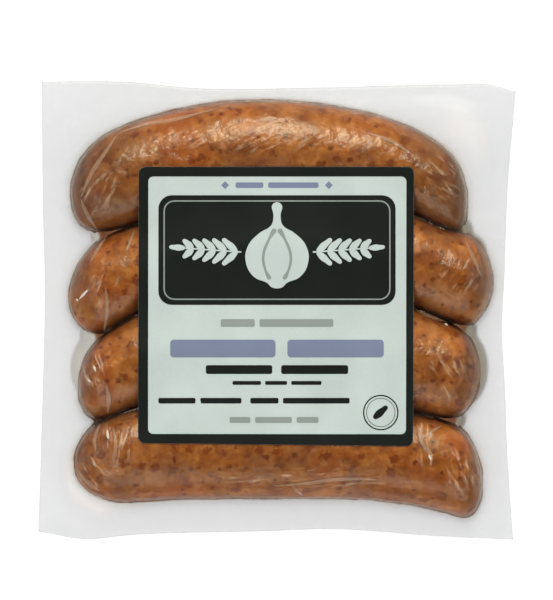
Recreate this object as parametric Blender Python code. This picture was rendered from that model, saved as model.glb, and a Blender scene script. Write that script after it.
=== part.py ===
# Vacuum pack of smoked sausage links, lying flat with its label up.
#
# Four links lie side by side in clear film that is drawn tight round each of them. The film is
# sealed all round into a thin square rim at about half the links' height, and a square label
# lies over the middle of the pack. The pack rests on the narrow flats under the links.
#
# Sizes are in millimetres here and in metres on the meshes. +X runs along the links, +Y across
# them and +Z up. The origin is on the resting plane, under the middle of the rim's square.

import bmesh
import bpy
import math
import numpy as np

MM = 0.001

# Each link's middle line, seen from above: x, y and half its width there. An end closes over a
# length, with an exponent that says how blunt it is.
LINKS = (
    {
        "line": (
            (-70.6, 38.9, 16.6),
            (-47.3, 46.8, 17.5),
            (-2.4, 55.3, 16.2),
            (21.4, 53.1, 16.0),
            (45.9, 47.3, 14.6),
            (64.1, 36.6, 14.4),
        ),
        "half_height": 14.7,
        "left_end": (16.3, 2.2),
        "right_end": (10.2, 2.5),
    },
    {
        "line": (
            (-71.4, 4.6, 17.0),
            (-60.2, 7.8, 17.3),
            (-47.3, 14.1, 15.4),
            (-2.4, 21.9, 17.3),
            (45.9, 17.2, 15.9),
            (65.6, 10.5, 16.3),
            (73.4, 10.0, 16.3),
        ),
        "half_height": 14.3,
        "left_end": (15.3, 2.0),
        "right_end": (8.5, 1.6),
    },
    {
        "line": (
            (-70.0, -19.6, 14.0),
            (-60.2, -21.8, 14.6),
            (-47.3, -17.0, 16.2),
            (-2.4, -12.9, 17.6),
            (45.9, -16.7, 18.2),
            (58.8, -20.3, 16.8),
            (71.2, -18.2, 15.5),
        ),
        "half_height": 14.8,
        "left_end": (8.5, 1.8),
        "right_end": (8.5, 2.0),
    },
    {
        "line": (
            (-69.7, -51.9, 14.8),
            (-60.2, -50.7, 15.4),
            (-47.3, -48.5, 15.6),
            (-2.4, -46.9, 16.6),
            (45.9, -50.3, 15.6),
            (58.8, -52.9, 16.0),
            (69.5, -57.6, 15.4),
        ),
        "half_height": 14.2,
        "left_end": (20.4, 1.8),
        "right_end": (8.5, 1.8),
    },
)
LINK_MIDDLE_Z = 14.0  # below the half heights, so that each link has a flat under it
SECTION_EXPONENT = 2.25  # 2 is an ellipse, more is squarer
SQUEEZE = 0.4  # neighbours press into each other by this much each
LINK_RINGS = 24
END_CROWDING = 0.65  # 0 spaces the rings evenly, 1 crowds them most at the ends
RING_POINTS = 24

# Film drawn across the notches between the links' ends: centre x, y and half sizes.
NOTCH_FILMS = (
    (-58.4, 25.3, 5.3, 5.2, 6.0),
    (-61.4, -8.0, 6.0, 5.5, 6.5),
    (-58.4, -38.6, 5.3, 4.6, 6.0),
    (62.0, 26.5, 5.0, 6.3, 6.5),
    (63.4, -6.6, 5.7, 6.0, 6.5),
    (59.4, -36.9, 4.9, 4.6, 6.0),
)
NOTCH_SEGMENTS = 14
NOTCH_RINGS = 8

# The sealed rim's four edges, corner to corner.
RIM_TOP = (
    (-79.9, 77.9),
    (-50.0, 77.6),
    (-29.6, 75.7),
    (14.6, 75.8),
    (58.8, 76.8),
    (72.4, 76.7),
    (81.1, 74.3),
)
RIM_BOTTOM = (
    (-81.1, -75.0),
    (-65.3, -77.6),
    (-50.0, -76.3),
    (-4.1, -75.0),
    (16.3, -74.3),
    (55.4, -76.7),
    (80.2, -77.9),
)
RIM_LEFT = ((-81.1, -75.0), (-79.9, -37.2), (-79.2, -13.4), (-78.9, 4.3), (-79.6, 37.6), (-79.9, 77.9))
RIM_RIGHT = (
    (80.2, -77.9),
    (78.2, -47.4),
    (77.5, -27.0),
    (76.5, -6.6),
    (77.4, 13.8),
    (78.2, 37.6),
    (81.1, 74.3),
)
RIM_Z = 13.6
RIM_THICKNESS = 0.8
RIM_CELLS = 24
RIM_HALF_X = 80.0
RIM_HALF_Y = 77.0
RIPPLE = 0.9  # how far the rim waves up and down at its edge
WAVE_X = 21.0  # one radian of the wave along x, and along y
WAVE_Y = 26.0
CORNER_CURL = 2.4  # how far the two curled corners lift
CURL_REACH = 34.0

# The label: its four corners from above, going round.
LABEL_CORNERS = ((-46.9, -44.7), (45.9, -45.7), (46.2, 48.5), (-46.6, 48.5))
LABEL_CORNER_RADIUS = 2.4
LABEL_THICKNESS = 0.4
LABEL_CLEARANCE = 0.4  # over the film
LABEL_BEND = 150.0  # radius of its hang between the crests that carry it
LABEL_COLUMNS = 14
LABEL_ROWS = 20

FILM_COLOUR = (0.34, 0.15, 0.07, 1.0)
LABEL_COLOUR = (0.60, 0.66, 0.62, 1.0)


# Curves

def smooth_curve(knots, values):
    # Cubic curve through values at knots, returned as a function.
    knots = np.asarray(knots, float)
    values = np.asarray(values, float)
    slopes = np.gradient(values, knots)

    def value_at(x):
        x = np.clip(x, knots[0], knots[-1])
        i = np.clip(np.searchsorted(knots, x) - 1, 0, len(knots) - 2)
        step = knots[i + 1] - knots[i]
        t = (x - knots[i]) / step
        rise = values[i + 1] - values[i]
        bend = slopes[i] * step - rise
        ease = -slopes[i + 1] * step + rise
        return values[i] + t * rise + t * (1 - t) * ((1 - t) * bend + t * ease)

    return value_at


def closing_share(distance, length, exponent):
    # 0 at an end's tip, rising to 1 where the end's rounding stops.
    past = np.clip(1.0 - distance / length, 0.0, 1.0)
    return (1.0 - past ** exponent) ** (1.0 / exponent)


# Links

def link_shape(link):
    # Functions for a link's middle line, half width and half height along x.
    xs, ys, widths = zip(*link["line"])
    middle = smooth_curve(xs, ys)
    width = smooth_curve(xs, widths)

    def share(x):
        left = closing_share(x - xs[0], *link["left_end"])
        right = closing_share(xs[-1] - x, *link["right_end"])
        return left * right

    def half_width(x):
        return (width(x) + SQUEEZE) * share(x)

    def half_height(x):
        return link["half_height"] * share(x)

    return xs[0], xs[-1], middle, half_width, half_height


def signed_power(value, power):
    return math.copysign(abs(value) ** power, value)


def link_ring(x, middle, half_width, half_height):
    # One closed section of a link, flattened where it would reach below the resting plane.
    points = []
    power = 2.0 / SECTION_EXPONENT
    for i in range(RING_POINTS):
        angle = 2 * math.pi * (i + 0.5) / RING_POINTS
        y = middle + half_width * signed_power(math.cos(angle), power)
        z = LINK_MIDDLE_Z + half_height * signed_power(math.sin(angle), power)
        points.append((x, y, max(z, 0.0)))
    return points


def make_link(name, link):
    left, right, middle, half_width, half_height = link_shape(link)
    mesh = bmesh.new()
    rings = []
    for i in range(LINK_RINGS):
        # The rings crowd towards the ends, where the outline turns.
        even = (i + 0.7) / (LINK_RINGS + 0.4)
        crowded = 0.5 - 0.5 * math.cos(math.pi * even)
        x = left + (right - left) * (END_CROWDING * crowded + (1 - END_CROWDING) * even)
        ring = link_ring(x, middle(x), half_width(x), half_height(x))
        rings.append([mesh.verts.new([c * MM for c in point]) for point in ring])
    for before, after in zip(rings, rings[1:]):
        for i in range(RING_POINTS):
            j = (i + 1) % RING_POINTS
            mesh.faces.new((before[i], before[j], after[j], after[i]))
    for ring, x in ((rings[0], left), (rings[-1], right)):
        tip = mesh.verts.new((x * MM, middle(x) * MM, LINK_MIDDLE_Z * MM))
        for i in range(RING_POINTS):
            mesh.faces.new((ring[i], ring[(i + 1) % RING_POINTS], tip))
    bmesh.ops.recalc_face_normals(mesh, faces=mesh.faces)
    return new_object(name, mesh)


def make_notch_film(name, x, y, half_x, half_y, half_z):
    mesh = bmesh.new()
    bmesh.ops.create_uvsphere(mesh, u_segments=NOTCH_SEGMENTS, v_segments=NOTCH_RINGS, radius=1.0)
    bmesh.ops.scale(mesh, vec=(half_x * MM, half_y * MM, half_z * MM), verts=mesh.verts)
    bmesh.ops.translate(mesh, vec=(x * MM, y * MM, RIM_Z * MM), verts=mesh.verts)
    return new_object(name, mesh)


# Sealed rim

def edge_along(points, axis):
    # An edge as a function from the share along it to its point.
    steps = [point[axis] for point in points]
    sideways = smooth_curve(steps, [point[1 - axis] for point in points])

    def point_at(share):
        point = np.zeros(2)
        point[axis] = steps[0] + (steps[-1] - steps[0]) * share
        point[1 - axis] = sideways(point[axis])
        return point

    return point_at


def rim_point(u, v, edges):
    # A point of the square, blended between its four edges.
    bottom, top, left, right = edges
    across = (1 - v) * bottom(u) + v * top(u) + (1 - u) * left(v) + u * right(v)
    corners = (1 - u) * (1 - v) * bottom(0) + u * (1 - v) * bottom(1)
    corners = corners + (1 - u) * v * top(0) + u * v * top(1)
    return across - corners


def rim_height(x, y):
    # The rim waves slowly, and lifts at two opposite corners.
    outward = min(max(abs(x) / RIM_HALF_X, abs(y) / RIM_HALF_Y), 1.0) ** 3
    wave = math.sin(x / WAVE_X + 0.8) * math.cos(y / WAVE_Y - 0.5)
    curl = 0.0
    for corner in (RIM_TOP[-1], RIM_BOTTOM[0]):
        away = math.dist((x, y), corner)
        curl += max(0.0, 1.0 - away / CURL_REACH) ** 2
    return RIM_Z + RIPPLE * wave * outward + CORNER_CURL * curl


def make_sheet(name, points, thickness):
    # A closed sheet from a grid of top points, with its underside straight below them.
    mesh = bmesh.new()
    rows = len(points)
    columns = len(points[0])
    top = [[mesh.verts.new((x * MM, y * MM, z * MM)) for x, y, z in row] for row in points]
    under = [[mesh.verts.new((x * MM, y * MM, (z - thickness) * MM)) for x, y, z in row] for row in points]
    for j in range(rows - 1):
        for i in range(columns - 1):
            mesh.faces.new((top[j][i], top[j][i + 1], top[j + 1][i + 1], top[j + 1][i]))
            mesh.faces.new((under[j][i], under[j + 1][i], under[j + 1][i + 1], under[j][i + 1]))
    border = [(0, i) for i in range(columns)]
    border += [(j, columns - 1) for j in range(1, rows)]
    border += [(rows - 1, i) for i in range(columns - 2, -1, -1)]
    border += [(j, 0) for j in range(rows - 2, 0, -1)]
    for (j, i), (l, k) in zip(border, border[1:] + border[:1]):
        mesh.faces.new((top[j][i], under[j][i], under[l][k], top[l][k]))
    bmesh.ops.recalc_face_normals(mesh, faces=mesh.faces)
    return new_object(name, mesh)


def make_rim(name):
    edges = (
        edge_along(RIM_BOTTOM, axis=0),
        edge_along(RIM_TOP, axis=0),
        edge_along(RIM_LEFT, axis=1),
        edge_along(RIM_RIGHT, axis=1),
    )
    grid = []
    for j in range(RIM_CELLS + 1):
        row = []
        for i in range(RIM_CELLS + 1):
            x, y = rim_point(i / RIM_CELLS, j / RIM_CELLS, edges)
            row.append((x, y, rim_height(x, y) + RIM_THICKNESS / 2))
        grid.append(row)
    return make_sheet(name, grid, RIM_THICKNESS)


# Label

def pack_top(x, ys):
    # Height of the wrapped links along a line across them.
    heights = np.full(len(ys), RIM_Z)
    for link in LINKS:
        left, right, middle, half_width, half_height = link_shape(link)
        if not left < x < right:
            continue
        offset = np.clip(np.abs(ys - middle(x)) / half_width(x), 0.0, 1.0)
        rise = (1.0 - offset ** SECTION_EXPONENT) ** (1.0 / SECTION_EXPONENT)
        heights = np.maximum(heights, LINK_MIDDLE_Z + half_height(x) * rise)
    return heights


def label_height(x, y, low, high):
    # The label rests on the crests, and hangs between them no more sharply than its bend.
    ys = np.linspace(low, high, 140)
    centres = np.linspace(low - LABEL_BEND / 2, high + LABEL_BEND / 2, 360)
    bowls = (ys[:, None] - centres) ** 2 / (2 * LABEL_BEND)
    resting = (pack_top(x, ys)[:, None] - bowls).max(axis=0)
    under = (resting + (y - centres) ** 2 / (2 * LABEL_BEND)).min()
    return under + LABEL_CLEARANCE + LABEL_THICKNESS


def shares_with_corners(count, corner_share):
    # Even shares from 0 to 1, with closer ones over the rounded corners.
    near = [corner_share * (1 - math.cos(math.pi / 2 * i / 3)) for i in range(4)]
    inner = [corner_share + (1 - 2 * corner_share) * i / (count - 6) for i in range(1, count - 6)]
    return near + inner + [1 - share for share in reversed(near)]


def make_label(name):
    low_left, low_right, high_right, high_left = (np.array(corner) for corner in LABEL_CORNERS)
    depth = high_left[1] - low_left[1]
    corner = LABEL_CORNER_RADIUS
    grid = []
    for v in shares_with_corners(LABEL_ROWS, corner / depth):
        left = low_left + (high_left - low_left) * v
        right = low_right + (high_right - low_right) * v
        from_edge = min(v, 1 - v) * depth
        # Each row draws in where the corners are rounded.
        short = max(corner - from_edge, 0.0)
        inset = corner - math.sqrt(corner ** 2 - short ** 2)
        row = []
        for i in range(LABEL_COLUMNS + 1):
            x = left[0] + inset + (right[0] - left[0] - 2 * inset) * i / LABEL_COLUMNS
            y = left[1] + (right[1] - left[1]) * i / LABEL_COLUMNS
            row.append((x, y, label_height(x, y, low_right[1], high_left[1])))
        grid.append(row)
    return make_sheet(name, grid, LABEL_THICKNESS)


# Objects

def new_object(name, mesh):
    data = bpy.data.meshes.new(name)
    mesh.to_mesh(data)
    mesh.free()
    obj = bpy.data.objects.new(name, data)
    bpy.context.collection.objects.link(obj)
    return obj


def plain_material(name, colour, roughness):
    material = bpy.data.materials.new(name)
    material.use_nodes = True
    shader = material.node_tree.nodes["Principled BSDF"]
    shader.inputs["Base Color"].default_value = colour
    shader.inputs["Roughness"].default_value = roughness
    shader.inputs["Metallic"].default_value = 0.0
    return material


def finish(obj, material, sharp_angle):
    obj.data.materials.append(material)
    obj.data.shade_smooth()
    obj.data.set_sharp_from_angle(angle=math.radians(sharp_angle))


def make_pouch():
    # The wrapped links, the films across their notches and the rim, fused into one body.
    pouch = make_rim("pouch")
    forms = bpy.data.collections.new("wrapped forms")
    bpy.context.scene.collection.children.link(forms)
    for i, link in enumerate(LINKS):
        forms.objects.link(make_link(f"wrapped_link_{i + 1}", link))
    for i, notch in enumerate(NOTCH_FILMS):
        forms.objects.link(make_notch_film(f"notch_film_{i + 1}", *notch))
    fuse = pouch.modifiers.new("fuse", "BOOLEAN")
    fuse.operation = "UNION"
    fuse.operand_type = "COLLECTION"
    fuse.collection = forms
    fuse.solver = "EXACT"
    bpy.context.view_layer.update()
    fused = bpy.data.meshes.new_from_object(pouch.evaluated_get(bpy.context.evaluated_depsgraph_get()))
    pouch.modifiers.clear()
    pouch.data = fused
    pouch.data.name = "pouch"
    for obj in list(forms.objects):
        bpy.data.objects.remove(obj)
    bpy.data.collections.remove(forms)
    return pouch


def main():
    for obj in list(bpy.data.objects):
        bpy.data.objects.remove(obj)
    finish(make_pouch(), plain_material("clear film over smoked casing", FILM_COLOUR, 0.25), 50)
    finish(make_label("label"), plain_material("coated label", LABEL_COLOUR, 0.4), 40)


main()
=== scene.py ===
import math

import bmesh
import bpy
import numpy as np
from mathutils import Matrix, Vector
from mathutils.bvhtree import BVHTree


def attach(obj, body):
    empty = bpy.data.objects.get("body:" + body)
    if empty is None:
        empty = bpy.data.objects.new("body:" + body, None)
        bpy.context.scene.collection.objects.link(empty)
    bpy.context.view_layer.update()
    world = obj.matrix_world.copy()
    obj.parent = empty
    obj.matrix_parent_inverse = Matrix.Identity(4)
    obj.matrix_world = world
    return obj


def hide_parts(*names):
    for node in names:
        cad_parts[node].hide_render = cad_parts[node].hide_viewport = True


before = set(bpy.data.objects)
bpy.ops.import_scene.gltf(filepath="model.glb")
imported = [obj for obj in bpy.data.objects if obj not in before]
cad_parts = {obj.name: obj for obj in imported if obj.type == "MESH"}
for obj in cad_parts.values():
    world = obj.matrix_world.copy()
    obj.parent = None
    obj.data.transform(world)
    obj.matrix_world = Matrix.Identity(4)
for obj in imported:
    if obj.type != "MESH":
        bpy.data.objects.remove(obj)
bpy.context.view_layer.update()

# Vacuum pack of smoked sausage links: the links, the clear film round them and the label.
# Lengths in the settings are millimetres, and the pack lies as the frame does:
# +X along the links, +Y across them, +Z up out of the label.

mm = 0.001


# small helpers

def clearSelection():
    if bpy.context.object and bpy.context.object.mode != "OBJECT":
        bpy.ops.object.mode_set(mode="OBJECT")
    bpy.ops.object.select_all(action="DESELECT")


def onlySelect(piece):
    clearSelection()
    piece.select_set(True)
    bpy.context.view_layer.objects.active = piece


def applyModifiers(piece):
    onlySelect(piece)
    for modifier in list(piece.modifiers):
        bpy.ops.object.modifier_apply(modifier=modifier.name)


def smoothThrough(knots, values):
    # a cubic curve through the values, as a function
    knots = np.asarray(knots, float)
    values = np.asarray(values, float)
    slopes = np.gradient(values, knots)

    def valueAt(x):
        x = np.clip(x, knots[0], knots[-1])
        i = np.clip(np.searchsorted(knots, x) - 1, 0, len(knots) - 2)
        step = knots[i + 1] - knots[i]
        t = (x - knots[i]) / step
        rise = values[i + 1] - values[i]
        bend = slopes[i] * step - rise
        ease = rise - slopes[i + 1] * step
        return values[i] + t * rise + t * (1 - t) * ((1 - t) * bend + t * ease)

    return valueAt


def smoothStep(low, high, value):
    t = np.clip((value - low) / (high - low), 0, 1)
    return t * t * (3 - 2 * t)


def meshPoints(piece):
    points = np.zeros(len(piece.data.vertices) * 3)
    piece.data.vertices.foreach_get("co", points)
    return points.reshape(-1, 3)


def setPoints(piece, points):
    piece.data.vertices.foreach_set("co", points.ravel())
    piece.data.update()


def joined(pieces, name):
    clearSelection()
    for piece in pieces:
        piece.select_set(True)
    bpy.context.view_layer.objects.active = pieces[0]
    if len(pieces) > 1:
        bpy.ops.object.join()
    pieces[0].name = name
    return pieces[0]


def flipIfInsideOut(piece):
    mesh = bmesh.new()
    mesh.from_mesh(piece.data)
    if mesh.calc_volume(signed=True) < 0:
        bmesh.ops.reverse_faces(mesh, faces=mesh.faces)
        mesh.to_mesh(piece.data)
    mesh.free()


# node helpers

def newMaterial(name):
    material = bpy.data.materials.new(name)
    material.use_nodes = True
    tree = material.node_tree
    shader = tree.nodes["Principled BSDF"]
    return material, tree, shader


def addNode(tree, kind, inputs=None, **settings):
    node = tree.nodes.new(kind)
    for key, value in settings.items():
        setattr(node, key, value)
    for key, value in (inputs or {}).items():
        if isinstance(value, bpy.types.NodeSocket):
            tree.links.new(value, node.inputs[key])
        else:
            node.inputs[key].default_value = value
    return node


def mathNode(tree, operation, first, second):
    return addNode(tree, "ShaderNodeMath", {0: first, 1: second}, operation=operation).outputs[0]


def scaledNode(tree, value, factor):
    return mathNode(tree, "MULTIPLY", value, factor)


def sumNode(tree, first, *others):
    for other in others:
        first = mathNode(tree, "ADD", first, other)
    return first


def blendNode(tree, first, second, share):
    # this share of the first and the rest of the second
    return sumNode(tree, scaledNode(tree, first, share), scaledNode(tree, second, 1 - share))


def rampNode(tree, factor, stops):
    node = addNode(tree, "ShaderNodeValToRGB", {"Fac": factor})
    ramp = node.color_ramp
    while len(ramp.elements) < len(stops):
        ramp.elements.new(0.5)
    for element, (place, colour) in zip(ramp.elements, stops):
        element.position = place
        element.color = (*colour, 1)
    return node.outputs["Color"]


def mixColours(tree, factor, first, second, blend="MIX"):
    node = addNode(tree, "ShaderNodeMix", data_type="RGBA", blend_type=blend)
    for socket, value in ((node.inputs[0], factor), (node.inputs[6], first), (node.inputs[7], second)):
        if isinstance(value, bpy.types.NodeSocket):
            tree.links.new(value, socket)
        else:
            socket.default_value = value if isinstance(value, (int, float)) else (*value, 1)
    return node.outputs[2]


def noiseNode(tree, place, scale, detail=3.0, roughness=0.5, distortion=0.0):
    return addNode(tree, "ShaderNodeTexNoise", {"Vector": place, "Scale": scale, "Detail": detail,
                                                "Roughness": roughness, "Distortion": distortion}).outputs["Fac"]


def newGroup(name, inputs, outputs):
    # an empty node group; its sockets are numbers unless the name holds Colour
    tree = bpy.data.node_groups.new(name, "ShaderNodeTree")
    for titles, way in ((inputs, "INPUT"), (outputs, "OUTPUT")):
        for title in titles:
            kind = "NodeSocketColor" if "Colour" in title else "NodeSocketFloat"
            tree.interface.new_socket(name=title, in_out=way, socket_type=kind)
    return tree, tree.nodes.new("NodeGroupInput").outputs, tree.nodes.new("NodeGroupOutput").inputs


def rangeNode(tree, value, low, high, toLow=0.0, toHigh=1.0):
    node = addNode(tree, "ShaderNodeMapRange", {"Value": value, "From Min": low, "From Max": high,
                                                "To Min": toLow, "To Max": toHigh}, clamp=True)
    return node.outputs["Result"]


def objectPlace(tree):
    return addNode(tree, "ShaderNodeTexCoord").outputs["Object"]


def markNode(tree, name, output="Fac"):
    return addNode(tree, "ShaderNodeAttribute", attribute_name=name).outputs[output]


def storeMark(piece, name, values):
    marks = piece.data.attributes.new(name, "FLOAT", "POINT")
    marks.data.foreach_set("value", values.astype(np.float32))


# the links

linkLook = {
    # middle line from above and half the width there; how long and how blunt each end is
    "links": {
        "linkTop": {
            "line": ((-69.8, 39.3, 15.9), (-47.3, 46.6, 17.9), (-2.4, 55.0, 16.5), (21.4, 52.7, 16.3),
                     (45.9, 47.0, 15.0), (64.3, 36.4, 14.5)),
            "halfHeight": 14.2, "leftEnd": (15.8, 2.4), "rightEnd": (10.2, 2.5),
            # painted shade: reaches further on this link and darkens its ends
            "shadeReach": 13.5, "endShade": 0.55,
        },
        "linkUpper": {
            "line": ((-70.5, 4.6, 16.8), (-60.2, 7.8, 17.4), (-47.3, 14.1, 15.8), (-2.4, 21.9, 17.8),
                     (45.9, 17.2, 16.5), (64.6, 10.5, 16.2), (73.2, 10.0, 15.6)),
            "halfHeight": 13.8, "leftEnd": (15.3, 2.0), "rightEnd": (9.5, 1.8),
        },
        "linkLower": {
            "line": ((-67.2, -26.0, 13.8), (-58.5, -22.3, 15.2), (-47.3, -17.0, 16.8), (-2.4, -12.9, 18.1),
                     (45.9, -16.7, 18.7), (58.8, -20.4, 16.6), (69.0, -20.9, 15.0)),
            "halfHeight": 14.3, "leftEnd": (11.4, 2.4), "rightEnd": (10.0, 1.9),
        },
        "linkBottom": {
            "line": ((-69.0, -51.9, 15.1), (-60.2, -50.4, 15.8), (-47.3, -48.3, 16.5), (-2.4, -46.7, 17.1),
                     (45.9, -49.9, 16.1), (58.8, -53.3, 15.6), (69.4, -58.6, 14.1)),
            "halfHeight": 13.7, "leftEnd": (19.6, 2.0), "rightEnd": (7.6, 2.2),
        },
    },
    "middleZ": 14.0,
    "restZ": 0.3,  # casings lie flat on the film under them
    "sectionPower": 2.25,
    "around": 26,
    "rings": 30,
    "endCrowding": 0.9,
    "tipSteps": ((1.1, -0.35), (0.9, 0.7)),  # inset of each end, then how far it moves in
    "smoothing": 3,
    "lumpSize": 9.0,
    "lumpHeight": 0.55,
    "grainSize": 2.6,
    "grainHeight": 0.22,
    "touching": 0.4,  # nearer than this to the next link a casing gets the painted shade in full
    "shadeReach": 8.5,  # and beyond this not at all
    "shadeSearch": 14,
    "endShadeFrom": (38, 56),  # where the painted shade of an end begins and is full, from the middle
}


def endShare(distance, length, power):
    past = np.clip(1 - distance / length, 0, 1)
    return (1 - past ** power) ** (1 / power)


def linkShape(link):
    xs, ys, widths = zip(*link["line"])
    middle = smoothThrough(xs, ys)
    width = smoothThrough(xs, widths)

    def sizes(x):
        share = endShare(x - xs[0], *link["leftEnd"]) * endShare(xs[-1] - x, *link["rightEnd"])
        return float(width(x) * share), float(link["halfHeight"] * share)

    return xs[0], xs[-1], middle, sizes


def modelLink(name, link):
    left, right, middle, sizes = linkShape(link)
    look = linkLook
    stations = []
    for i in range(look["rings"]):
        even = (i + 0.6) / (look["rings"] + 0.2)
        crowded = 0.5 - 0.5 * math.cos(math.pi * even)
        stations.append(left + (right - left) * (look["endCrowding"] * crowded + (1 - look["endCrowding"]) * even))

    # first section: a circle stood up across x and squared a little
    clearSelection()
    bpy.ops.mesh.primitive_circle_add(vertices=look["around"], radius=1, rotation=(0, math.pi / 2, 0))
    piece = bpy.context.object
    piece.name = name
    bpy.ops.object.transform_apply(location=False, rotation=True, scale=False)
    x = stations[0]
    halfWidth, halfHeight = sizes(x)
    centre = Vector((x, float(middle(x)), look["middleZ"])) * mm
    for vertex in piece.data.vertices:
        y, z = vertex.co.y, vertex.co.z
        y = math.copysign(abs(y) ** (2 / look["sectionPower"]), y) * halfWidth * mm
        z = math.copysign(abs(z) ** (2 / look["sectionPower"]), z) * halfHeight * mm
        vertex.co = centre + Vector((0, y, z))

    # drawn out station by station, each section resized to the casing there
    bpy.ops.object.mode_set(mode="EDIT")
    bpy.ops.mesh.select_all(action="SELECT")
    for x in stations[1:]:
        nextCentre = Vector((x, float(middle(x)), look["middleZ"])) * mm
        bpy.ops.mesh.extrude_edges_move(TRANSFORM_OT_translate={"value": nextCentre - centre})
        centre = nextCentre
        nextWidth, nextHeight = sizes(x)
        bpy.ops.transform.resize(value=(1, nextWidth / halfWidth, nextHeight / halfHeight), center_override=centre)
        halfWidth, halfHeight = nextWidth, nextHeight

    # the ends are filled, then drawn in to a small pucker
    bpy.ops.mesh.select_all(action="SELECT")
    bpy.ops.mesh.fill_holes(sides=0)
    for inward in (1, -1):
        bpy.ops.mesh.select_all(action="DESELECT")
        bpy.ops.object.mode_set(mode="OBJECT")
        end = min(piece.data.polygons, key=lambda face: inward * face.center.x)
        end.select = True
        bpy.ops.object.mode_set(mode="EDIT")
        bpy.ops.mesh.select_mode(type="FACE")
        for inset, shift in look["tipSteps"]:
            bpy.ops.mesh.inset(thickness=inset * mm)
            bpy.ops.transform.translate(value=(shift * mm * inward, 0, 0))
        bpy.ops.mesh.poke()
    bpy.ops.mesh.select_all(action="SELECT")
    bpy.ops.mesh.normals_make_consistent(inside=False)
    bpy.ops.object.mode_set(mode="OBJECT")

    # smooth casing, then the uneven filling under it
    smoothing = piece.modifiers.new("smoothing", "SUBSURF")
    smoothing.levels = smoothing.render_levels = look["smoothing"]
    for label, size, height in (("lumps", look["lumpSize"], look["lumpHeight"]),
                                ("grain", look["grainSize"], look["grainHeight"])):
        texture = bpy.data.textures.new(f"{name} {label}", "CLOUDS")
        texture.noise_scale = size * mm
        texture.noise_depth = 1
        push = piece.modifiers.new(label, "DISPLACE")
        push.texture = texture
        push.texture_coords = "LOCAL"
        push.strength = height * mm
        push.mid_level = 0.5
    applyModifiers(piece)
    for vertex in piece.data.vertices:
        vertex.co.z = max(vertex.co.z, look["restZ"] * mm)
    bpy.ops.object.shade_smooth()
    flipIfInsideOut(piece)
    return piece


casingLook = {
    # how fine each pattern is: more is finer
    "broadScale": 85,
    "patchScale": 250,
    "grainScale": 760,
    "hueScale": 64,
    "patchTone": 0.72,  # the tone is this share patches, the rest grain
    "patchHeight": 0.6,
    "broadSwing": 0.08,
    "browns": ((0.33, (0.220, 0.054, 0.006)), (0.44, (0.328, 0.096, 0.011)),
               (0.55, (0.412, 0.137, 0.019)), (0.66, (0.518, 0.200, 0.041))),
    # duller and redder stretches: where in the hue pattern one begins and is full, how strong, colour
    "stretches": ((0.51, 0.66, 0.55, (0.315, 0.118, 0.050)), (0.49, 0.34, 0.50, (0.415, 0.092, 0.014))),
    # pale fat, red meat and dark pepper: how fine, share of cells without one, how strong, colour
    "flecks": ((230, 0.60, 0.45, (0.580, 0.270, 0.095)), (175, 0.33, 0.84, (0.220, 0.038, 0.003)),
               (320, 0.60, 0.84, (0.160, 0.024, 0.002))),
    "fleckEdge": (0.74, 0.60),
    "fleckRagged": 0.8,
    # painted shade between the links and at the top link's ends
    "paintedShade": 0.80,
    "paintedShadeColour": (0.095, 0.034, 0.016),
    "roughness": (0.30, 0.42),
    "bump": 0.0006,
    "specular": 0.25,
    "glint": (1.0, 0.74, 0.40, 1),
}


def casingMaterial():
    # smoked casing: brown, mottled by the meat and fat under it, with dark specks, and painted shade between the
    # links
    look = casingLook
    material, tree, shader = newMaterial("smokedCasing")
    place = objectPlace(tree)
    broad = noiseNode(tree, place, look["broadScale"], 2)
    patches = noiseNode(tree, place, look["patchScale"], 2, 0.5, 0.3)
    grain = noiseNode(tree, place, look["grainScale"], 3, 0.6)
    tone = sumNode(tree, blendNode(tree, patches, grain, look["patchTone"]),
                   rangeNode(tree, broad, 0.3, 0.7, -look["broadSwing"], look["broadSwing"]))
    speckled = rampNode(tree, tone, look["browns"])
    # some stretches are duller and some redder
    hue = noiseNode(tree, place, look["hueScale"], 3, 0.6)
    for begins, full, depth, colour in look["stretches"]:
        speckled = mixColours(tree, rangeNode(tree, hue, begins, full, 0.0, depth), speckled, colour)
    # scattered flecks in some cells only, ragged by the grain
    for scale, share, depth, colour in look["flecks"]:
        scatter = addNode(tree, "ShaderNodeTexVoronoi", {"Vector": place, "Scale": scale, "Randomness": 1.0})
        chance = addNode(tree, "ShaderNodeSeparateColor", {0: scatter.outputs["Color"]}).outputs[0]
        reach = sumNode(tree, scatter.outputs["Distance"], scaledNode(tree, grain, look["fleckRagged"]))
        fleck = scaledNode(tree, rangeNode(tree, reach, *look["fleckEdge"]),
                           rangeNode(tree, chance, share, share + 0.1))
        speckled = mixColours(tree, scaledNode(tree, fleck, depth), speckled, colour)
    # painted shade: where links lie close together, and at the top link's ends, the casing is darkened to a dull
    # purple brown
    paintedShade = scaledNode(tree, markNode(tree, "paintedShade"), look["paintedShade"])
    tree.links.new(mixColours(tree, paintedShade, speckled, look["paintedShadeColour"]), shader.inputs["Base Color"])
    tree.links.new(rangeNode(tree, tone, 0.35, 0.65, *look["roughness"]), shader.inputs["Roughness"])
    height = blendNode(tree, patches, grain, look["patchHeight"])
    bump = addNode(tree, "ShaderNodeBump", {"Strength": 0.6, "Distance": look["bump"], "Height": height})
    tree.links.new(bump.outputs["Normal"], shader.inputs["Normal"])
    shader.inputs["Specular IOR Level"].default_value = look["specular"]
    shader.inputs["Specular Tint"].default_value = look["glint"]
    return material


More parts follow.
